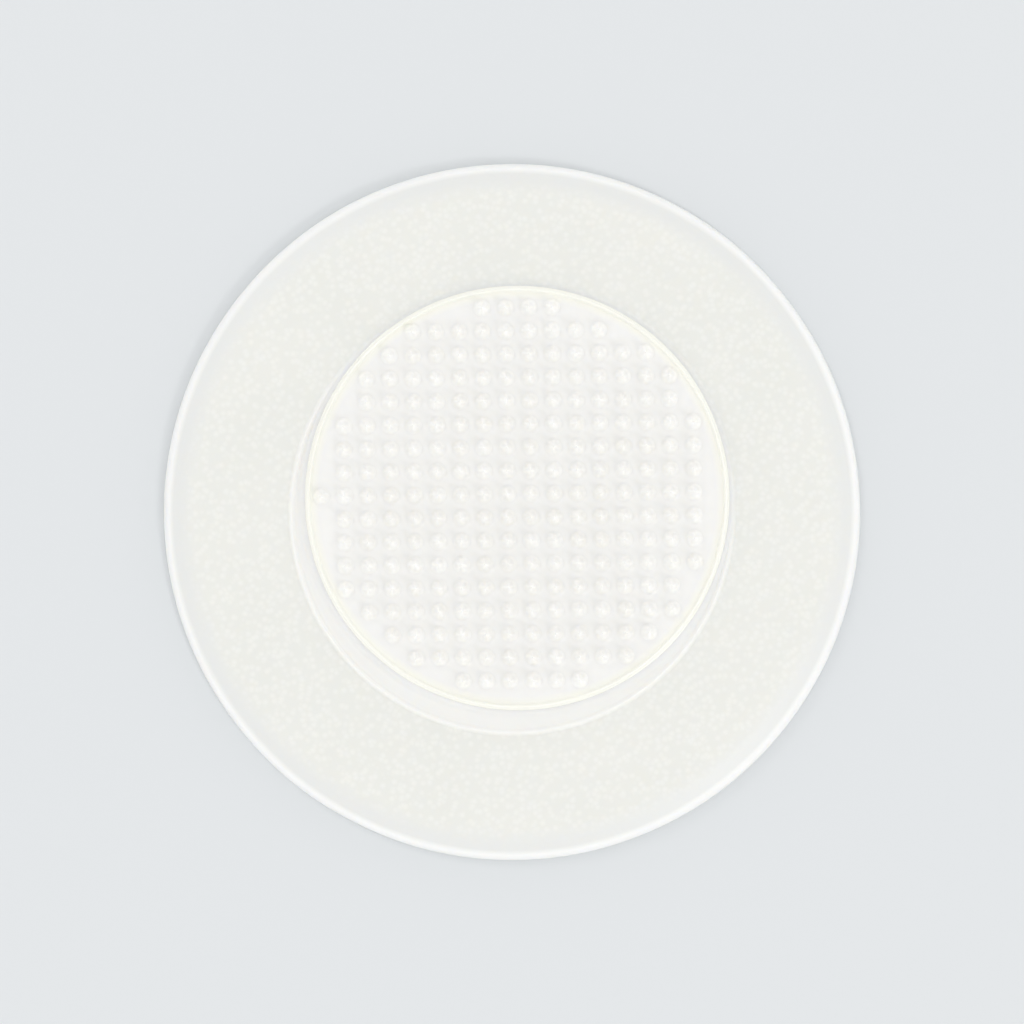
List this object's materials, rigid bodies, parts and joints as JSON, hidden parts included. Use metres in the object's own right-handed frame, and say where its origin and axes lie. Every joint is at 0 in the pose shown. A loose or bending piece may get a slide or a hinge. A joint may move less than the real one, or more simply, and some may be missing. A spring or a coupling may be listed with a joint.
{
  "type": "microneedle acne patch",
  "caption": "Round soft gel patch with a raised round array of fine dissolving needles bonded a little off centre on its sticky face.",
  "frame": {"origin": "middle of the gel disc's backing face, which it lies on", "axes": "+Z out of the sticky face, the way the needles point; +X to the right and +Y up in the picture, square with the needle grid to within a degree"},
  "size_m": [0.012, 0.012, 0.001],
  "materials": {
    "hydrocolloid": "translucent off-white gel with a soft sheen",
    "dried_gel": "cast translucent cream film, glossy"
  },
  "bodies": {
    "root": {"hydrocolloid_disc": "hydrocolloid", "needle_array": "dried_gel"}
  },
  "joints": []
}
